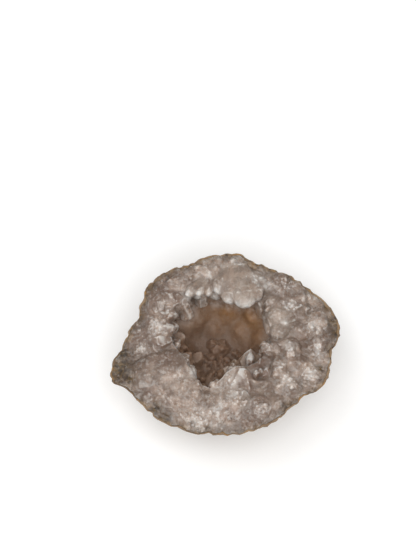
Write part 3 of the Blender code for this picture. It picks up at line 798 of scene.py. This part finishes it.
def make_crust():
    """The piece that shows the quartz."""
    bowl = [bowl_ring(level, GAP) for level in BOWL_LEVELS]
    pole = (0.0, 0.0, WALL + GAP - FOOT_DEPTH)
    crust = plain_crust(bowl, pole)
    pieces, solids = crystals(random.Random(SEED))
    join_crystals(crust, pieces, bowl, pole)
    make_one_skin(crust, bowl, pole)
    finish_crust(crust.data, solids)
    return crust


def vectors(mesh, name):
    """The coordinates (co) or the normals (normal) of the vertices."""
    found = np.empty(len(mesh.vertices) * 3, np.float32)
    mesh.vertices.foreach_get(name, found)
    return found.reshape(-1, 3).astype(float)


def neighbours_mean(mesh, values):
    """The mean of each vertex's neighbours."""
    ends = np.empty(len(mesh.edges) * 2, int)
    mesh.edges.foreach_get("vertices", ends)
    a, b = ends.reshape(-1, 2).T
    values = values.reshape(len(values), -1)
    total, count = np.zeros_like(values), np.zeros(len(values))
    for start, end in ((a, b), (b, a)):
        for k in range(values.shape[1]):
            total[:, k] += np.bincount(start, values[end, k], len(values))
        count += np.bincount(start, minlength=len(values))
    return np.squeeze(total / np.maximum(count, 1)[:, None])


def near_places(points, places):
    """How near each point is to any of these places, from above: 1 at one, fading out over its reach."""
    share = np.zeros(len(points))
    for x, y, reach in places:
        away = np.hypot(points[:, 0] - x, points[:, 1] - y)
        share = np.maximum(share, np.exp(-((away / reach) ** 2)))
    return share


def crystal_shades(mesh, points, solids):
    """Whether each point is on one of these crystals, and the shade of that crystal."""
    on_crystal, tone = np.zeros(len(points)), np.zeros(len(points))
    for planes, place, shade in solids:
        local = np.column_stack([points, np.ones(len(points))]) @ np.array(place.inverted()).T
        near = np.abs(local[:, :3]).max(axis=1) < CRYSTAL_REACH
        depth = (local[near][:, :3] @ planes[:, :3].T - planes[:, 3]).max(axis=1)
        index = np.flatnonzero(near)[np.abs(depth) < ON_CRYSTAL]
        on_crystal[index] = 1.0
        tone[index] = shade
    for _ in range(2):
        on_crystal = neighbours_mean(mesh, on_crystal)
        tone = neighbours_mean(mesh, tone)
    return on_crystal, tone


def ridges(mesh, points):
    """How much each vertex stands out from its neighbours: 1 on an edge, -1 in a crease."""
    curve = ((points - neighbours_mean(mesh, points)) * vectors(mesh, "normal")).sum(axis=1)
    curve = 0.5 * curve + 0.5 * neighbours_mean(mesh, curve)
    return np.clip(curve / FULL_RIDGE, -1, 1)


def in_hollow(points):
    """The share from 0 on the broken face to 1 well inside the hollow."""
    offsets = points[:, :2] - HOLLOW_CENTRE
    mouth = reach_towards(*offsets.T, MOUTH_REACH)
    inside = np.clip((1.12 - np.hypot(*offsets.T) / mouth) / 0.2, 0, 1)
    return inside * smooth_share((FACE_HEIGHT - 2.5 - points[:, 2]) / 12.0)


def finish_crust(mesh, solids):
    """The fine relief of the crust, and the values at its vertices that its material reads."""
    points = vectors(mesh, "co")
    on_crystal, tone = crystal_shades(mesh, points, solids)
    inside = inside_edge(points[:, 0], points[:, 1])
    frost = near_places(points, [(x, y, 1.1 * reach) for x, y, reach, _ in CLUSTERS])
    frost *= points[:, 2] > FACE_HEIGHT - 9
    # painted highlights on the ends and edges of large crystals
    painted_highlight = near_places(points, PAINTED_HIGHLIGHTS) * (points[:, 2] > FACE_HEIGHT - 4)
    amount = (0.08 - 0.05 * on_crystal + 0.17 * frost) * np.clip(inside / 3, 0, 1)
    bump = pebbles(points, 1.7, 51) - 0.6 + relief(points, ((1.1, 0.9, 53),))
    points = points + vectors(mesh, "normal") * (bump * amount)[:, None]
    mesh.vertices.foreach_set("co", points.ravel())
    mesh.update()

    band = 1.9 + relief(points, ((9.0, 3.2, 81), (2.5, 1.6, 83)))
    values = {
        "ridge": ridges(mesh, points),
        "tone": tone,
        "facet": on_crystal,
        "hollow": in_hollow(points),
        # deep: how far down into the hollow, which the material turns into painted shade
        "deep": smooth_share((FACE_HEIGHT - points[:, 2] - 4) / 20),
        "rim": np.clip(1 - inside / 5.0, 0, 1),
        # frost also carries the painted highlights, which whiten like frost
        "frost": np.maximum(1.25 * frost, 1.1 * painted_highlight),
        "painted_highlight": painted_highlight,
        # clear: above 0 darker, partly clearer quartz and partly painted shade; below 0 paler, partly
        # whitest quartz and partly painted light
        "clear": near_places(points, DUSKY_AND_SHADED) - near_places(points, PALE_AND_LIT),
        "edge": np.clip(1.2 - inside / np.clip(band, 0.7, 4.0), 0, 1),
        "stain": near_places(points, STAINS),
        "amber": near_places(points, AMBER),
    }
    for name, value in values.items():
        made = mesh.attributes.new(name, "FLOAT", "POINT")
        made.data.foreach_set("value", np.asarray(value, np.float32))
    mesh.transform(Matrix.Scale(MM, 4))
    mesh.shade_smooth()
    mesh.set_sharp_from_angle(angle=SHARP_ANGLE)


def make_rind():
    """The piece that shows the stone skin."""
    back = [back_ring(level) for level in RIND_LEVELS]
    bowl = [bowl_ring(level, 0.0) for level in BOWL_LEVELS]
    rind = loft("stone_rind", back[::-1] + bowl, (0.0, 0.0, -FOOT_DEPTH), (0.0, 0.0, WALL - FOOT_DEPTH))
    points = vectors(rind.data, "co")
    points[:, 2] = np.maximum(points[:, 2], 0.0)
    rind.data.vertices.foreach_set("co", points.ravel())
    rind.data.transform(Matrix.Scale(MM, 4))
    rind.data.shade_smooth()
    return rind


class Nodes:
    """Short ways to add and join the nodes of a material."""

    def __init__(self, name):
        self.material = bpy.data.materials.new(name)
        self.material.use_nodes = True
        self.tree = self.material.node_tree
        self.shader = self.tree.nodes["Principled BSDF"]
        self.place = self.new("TexCoord").outputs["Object"]

    def new(self, kind, inputs=(), **settings):
        node = self.tree.nodes.new("ShaderNode" + kind)
        for name, value in settings.items():
            setattr(node, name, value)
        for name, value in dict(inputs).items():
            self.put(value, node.inputs[name])
        return node

    def put(self, value, socket):
        if isinstance(value, bpy.types.NodeSocket):
            self.tree.links.new(value, socket)
        elif value is not None:
            socket.default_value = value

    def noise(self, size, detail=4.0, roughness=0.55, distortion=0.0, offset=0.0):
        """Cloudy noise with features of this size in millimetres."""
        shift = (offset, offset, offset)
        place = self.new("VectorMath", {0: self.place, 1: shift}, operation="ADD")
        inputs = {"Vector": place.outputs[0], "Scale": 1 / (size * MM), "Detail": detail,
                  "Roughness": roughness, "Distortion": distortion}
        return self.new("TexNoise", inputs).outputs["Fac"]

    def cells(self, size, **settings):
        """Cells of about this size in millimetres."""
        return self.new("TexVoronoi", {"Vector": self.place, "Scale": 1 / (size * MM)}, **settings).outputs

    def points(self, size):
        """Small pyramids of about this size in millimetres: their height, and a random tone for each."""
        cells = self.cells(size, distance="MANHATTAN")
        tone = self.new("SeparateColor", {0: cells["Color"]}).outputs[0]
        return self.math("SUBTRACT", 1.0, cells["Distance"]), tone

    def between(self, value, low, high, to_low=0.0, to_high=1.0):
        """A value between low and high, turned smoothly into one between the last two."""
        inputs = {"Value": value, "From Min": low, "From Max": high, "To Min": to_low, "To Max": to_high}
        return self.new("MapRange", inputs, interpolation_type="SMOOTHSTEP").outputs["Result"]

    def math(self, operation, a, b):
        return self.new("Math", {0: a, 1: b}, operation=operation).outputs[0]

    def times(self, a, b):
        return self.math("MULTIPLY", a, b)

    def mix(self, share, a, b, blend="MIX"):
        """Two colours mixed by a share."""
        node = self.new("Mix", data_type="RGBA", blend_type=blend)
        colours = [(*c, 1.0) if isinstance(c, tuple) else c for c in (a, b)]
        self.put(share, node.inputs[0])
        self.put(colours[0], node.inputs[6])
        self.put(colours[1], node.inputs[7])
        return node.outputs[2]

    def attribute(self, name):
        return self.new("Attribute", attribute_name=name).outputs["Fac"]

    def bump(self, height, distance, normal=None):
        inputs = {"Height": height, "Distance": distance * MM, "Normal": normal}
        return self.new("Bump", inputs).outputs["Normal"]

    def set(self, **inputs):
        for name, value in inputs.items():
            self.put(value, self.shader.inputs[name.replace("_", " ")])


def milky_quartz(made, tone, clear, calm):
    """The colour of the quartz, and how milky it is, darker and paler where clear says so: partly its own
    clarity and whiteness, partly painted shade and light.
    """
    # where clear is high the colour darkens, partly as painted shade; where it is low it lightens, partly as
    # painted light
    cloud = made.math("SUBTRACT", made.noise(10, 6, 0.54), made.times(clear, 0.17))
    colour = made.mix(made.between(cloud, 0.34, 0.66), (0.205, 0.122, 0.084), (0.256, 0.172, 0.126))
    colour = made.mix(made.between(tone, -0.6, 1, 0, 0.6), colour, (0.33, 0.26, 0.205))
    milk = made.math("SUBTRACT", made.noise(5.5, 7, 0.62, 0.3), made.times(clear, 0.14))
    milky = made.times(made.between(milk, 0.38, 0.70), calm)
    return made.mix(made.times(milky, 0.6), colour, (0.39, 0.318, 0.268)), milky


def frosting(made, facet, clear, calm, sugar):
    """How frosty the quartz is: most in the clusters, and in drifts between them; the painted highlights on
    crystal ends come in with the frost value and whiten the same way.
    """
    drift = made.math("SUBTRACT", made.noise(6, 6, 0.62, offset=0.6), made.times(clear, 0.1))
    drifts = made.between(drift, 0.36, 0.66, -0.3, 0.45)
    broken = made.between(made.noise(3.6, 6, 0.66, offset=0.33), 0.38, 0.6, 0.15, 1.15)
    frost = made.math("ADD", made.times(made.attribute("frost"), broken), drifts)
    frost = made.math("ADD", frost, made.times(sugar, calm))
    return made.times(made.between(frost, 0.1, 1.6), made.between(facet, 0, 1, 1.0, 0.75))


def pale_edges_and_highlights(made, colour, ridge, facet):
    """Pale edges of crystals, partly frosted quartz and partly painted highlights where edges catch the
    light, and painted highlights on the ends of large crystals.
    """
    # edges paler, partly frosted quartz and partly painted highlight
    edges = made.times(made.between(ridge, 0.2, 0.75), made.between(facet, 0, 1, 0.4, 0.72))
    colour = made.mix(edges, colour, (0.68, 0.655, 0.62))
    # painted highlights on the ends of large crystals
    return made.mix(made.times(made.attribute("painted_highlight"), 0.42), colour, (0.74, 0.72, 0.69))


def shaded_pyramids(made, colour, shade):
    """A random shade on each small pyramid, painted to look like facets turned differently to the light, and
    thin pale lines between some of them.
    """
    shade = made.between(shade, 0.1, 0.9, 0.9, 1.1)
    grey = made.new("CombineColor", {0: shade, 1: shade, 2: shade}).outputs[0]
    # painted facet shading: each pyramid a little lighter or darker
    colour = made.mix(1.0, colour, grey, "MULTIPLY")
    thin = made.between(made.cells(3.4, feature="DISTANCE_TO_EDGE")["Distance"], 0.0, 0.05, 0.2, 0.0)
    thin = made.times(thin, made.between(made.noise(6, 4, offset=0.9), 0.42, 0.6))
    return made.mix(thin, colour, (0.52, 0.49, 0.45))


def flecked(made, colour, facet, fleck):
    """Pale and dark flecks, mostly between the large crystals."""
    plain = made.between(facet, 0, 1, 1.0, 0.12)
    where = made.between(made.noise(4, 4, offset=0.8), 0.4, 0.62, 0.0, 0.5)
    flecks = made.times(made.times(made.between(fleck, 0.5, 0.9), where), plain)
    colour = made.mix(flecks, colour, (0.54, 0.50, 0.465))
    dim = made.times(made.between(fleck, 0.4, 0.1, 0.0, 0.28), plain)
    return made.mix(dim, colour, (0.20, 0.135, 0.095))


def hollow_colour(made, sugar):
    """The warm brown of the hollow, more orange on the far wall, and darker further down as painted shade.
    """
    warm = made.between(made.noise(9, 4, offset=0.3), 0.4, 0.6)
    colour = made.mix(warm, (0.245, 0.138, 0.074), (0.26, 0.168, 0.108))
    colour = made.mix(made.attribute("amber"), colour, (0.33, 0.158, 0.044))
    colour = made.mix(made.times(made.between(sugar, 0, 0.7), 0.3), colour, (0.36, 0.27, 0.205))
    # painted shade: darker the further down into the hollow
    deep = made.times(made.attribute("deep"), 0.75)
    return made.mix(deep, colour, (0.115, 0.062, 0.036))


def stained(made, colour, fleck):
    """Brown soaked in at places and along the rim, and an ochre crust at the very edge, with their share."""
    stain, rim = made.attribute("stain"), made.times(made.attribute("rim"), 0.55)
    patchy = made.between(made.noise(2.4, 7, 0.7, offset=0.7), 0.36, 0.56)
    soaked = made.times(patchy, made.math("MAXIMUM", stain, rim))
    soaked = made.math("MAXIMUM", stain, soaked)
    mottled = made.between(made.noise(1.6, 5, 0.65, offset=0.15), 0.4, 0.6)
    brown = made.mix(mottled, (0.020, 0.009, 0.0), (0.095, 0.050, 0.006))
    share = made.times(soaked, made.between(fleck, 0.75, 0.95, 1.0, 0.6))
    colour = made.mix(share, colour, brown)
    crumbly = made.between(made.noise(2.6, 6, 0.7), 0.3, 0.55)
    crusted = made.times(made.attribute("edge"), crumbly)
    mottled = made.between(made.noise(3.4, 5, offset=0.35), 0.42, 0.58)
    ochre = made.mix(mottled, (0.075, 0.043, 0.018), (0.22, 0.125, 0.042))
    colour = made.mix(made.times(crusted, 0.9), colour, ochre)
    return colour, made.math("MAXIMUM", soaked, crusted)


def quartz():
    """Milky quartz: a little see-through where it is clear, frosted, and warm brown inside the hollow."""
    made = Nodes("quartz")
    ridge, facet = made.attribute("ridge"), made.attribute("facet")
    hollow, clear = made.attribute("hollow"), made.attribute("clear")
    calm = made.between(facet, 0, 1, 1.0, 0.5)
    sugar = made.between(made.noise(1.0, 5, 0.7, offset=0.2), 0.34, 0.66, -0.5, 0.5)
    pyramids, shade = made.points(2.9)
    small, fleck = made.points(1.15)

    colour, milky = milky_quartz(made, made.attribute("tone"), clear, calm)
    frost = frosting(made, facet, clear, calm, sugar)
    colour = made.mix(made.times(frost, 0.74), colour, (0.535, 0.515, 0.49))
    colour = pale_edges_and_highlights(made, colour, ridge, facet)
    colour = shaded_pyramids(made, colour, shade)
    colour = flecked(made, colour, facet, fleck)
    # painted fill light: concave creases are lightened and warmed, lifting the shade that falls there
    crease_fill_light = made.times(made.between(ridge, -0.7, -0.05, 1.0, 0.0), 0.5)
    colour = made.mix(crease_fill_light, colour, (0.44, 0.345, 0.28))
    colour = made.mix(made.times(hollow, 0.93), colour, hollow_colour(made, sugar))
    colour, dirt = stained(made, colour, fleck)

    cloudy = made.math("MAXIMUM", made.math("MAXIMUM", frost, milky), hollow)
    solid = made.math("MAXIMUM", dirt, made.times(hollow, 0.4))
    rough = made.math("MAXIMUM", made.between(frost, 0, 1, 0.36, 0.6), made.times(hollow, 0.62))
    height = made.times(pyramids, made.between(hollow, 0, 1, 1.0, 0.35))
    normal = made.bump(height, 0.26, made.bump(small, 0.1, made.bump(made.noise(0.9, 5, 0.62), 0.08)))
    made.set(Base_Color=colour, Roughness=rough, Normal=normal, IOR=1.544,
             Subsurface_Weight=made.between(solid, 0, 1, 1.0, 0.1),
             Subsurface_Scale=0.006, Subsurface_Radius=(1.0, 0.86, 0.76),
             Transmission_Weight=made.between(cloudy, 0, 0.8, 0.34, 0.0))
    return made.material


def stone():
    """The rind: brown stone with ochre patches, dark specks and fine pits."""
    made = Nodes("rind")
    broad = made.between(made.noise(12, 6, 0.6), 0.35, 0.65)
    ochre = made.between(made.noise(4, 6, 0.65, offset=0.4), 0.52, 0.64)
    specks = made.between(made.noise(2.2, 5, 0.6, offset=0.9), 0.56, 0.66)
    colour = made.mix(broad, (0.15, 0.095, 0.055), (0.27, 0.185, 0.11))
    colour = made.mix(ochre, colour, (0.30, 0.17, 0.06))
    colour = made.mix(specks, colour, (0.07, 0.045, 0.03))
    rough = made.between(made.noise(3, 4), 0.3, 0.7, 0.7, 0.95)
    normal = made.bump(made.noise(1.2, 7, 0.65), 0.35, made.bump(made.cells(2.2)["Distance"], 0.3))
    made.set(Base_Color=colour, Roughness=rough, Normal=normal)
    return made.material


def paper():
    """The floor's white paper."""
    made = Nodes("floor_paper")
    colour = made.mix(made.noise(60, 3), (0.93, 0.93, 0.925), (0.95, 0.95, 0.945))
    made.set(Base_Color=colour, Roughness=0.9)
    return made.material


def light(name, place, size, power):
    """A soft round lamp of this size in metres that points at the part."""
    lamp = bpy.data.lights.new(name, "AREA")
    lamp.shape = "DISK"
    lamp.size = size
    lamp.energy = power
    made = linked(name, lamp)
    made.location = place
    made.rotation_mode = "QUATERNION"
    made.rotation_quaternion = (Vector((0, 0, 0.03)) - Vector(place)).to_track_quat("-Z", "Y")


def set_stage():
    """The white floor, the world and the lamps."""
    bm = bmesh.new()
    bmesh.ops.create_grid(bm, x_segments=8, y_segments=8, size=3.0)
    mesh = bpy.data.meshes.new("floor")
    bm.to_mesh(mesh)
    bm.free()
    floor = linked("floor", mesh)
    floor.data.materials.append(paper())
    world = bpy.data.worlds.new("studio")
    bpy.context.scene.world = world
    world.use_nodes = True
    background = world.node_tree.nodes["Background"].inputs
    background["Color"].default_value = (1, 1, 1, 1)
    background["Strength"].default_value = WORLD_LIGHT
    light("key", (0.08, -0.42, 0.92), 0.95, 6.6)
    light("side", (-0.4, 0.1, 0.9), 0.6, 2.0)
    bpy.context.scene.view_settings.view_transform = "Standard"


def set_camera():
    """The camera at the photo's angle, with the middle of the broken face where the photo has it."""
    focal = LENS / SENSOR * max(PHOTO)
    sight = pointing(-90.0, ELEVATION)
    back = Vector((0.0, sight.y, sight.z))
    camera = bpy.data.cameras.new("camera")
    camera.lens = LENS
    camera.sensor_width = SENSOR
    camera.clip_start, camera.clip_end = 0.01, 20.0
    made = linked("camera", camera)
    aim = Vector((0.0, 0.0, RIM_HEIGHT * MM))
    made.location = aim + back * (focal / PIXELS_PER_MM * MM)
    off = Vector((AIM_PIXEL[0] - PHOTO[0] / 2, PHOTO[1] / 2 - AIM_PIXEL[1], -focal)).normalized()
    made.rotation_mode = "QUATERNION"
    turned = off.rotation_difference(Vector((0, 0, -1)))
    made.rotation_quaternion = (-back).to_track_quat("-Z", "Y") @ turned
    bpy.context.scene.camera = made


crust, rind = make_crust(), make_rind()
dressed = (
    (crust, "crystal_crust", "quartz", quartz()),
    (rind, "rind", "rind", stone()),
)
for piece, node, slot, finish in dressed:
    piece.data.materials.clear()
    piece.data.materials.append(finish)
    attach(piece, "root")
    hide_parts(node)

set_stage()
set_camera()
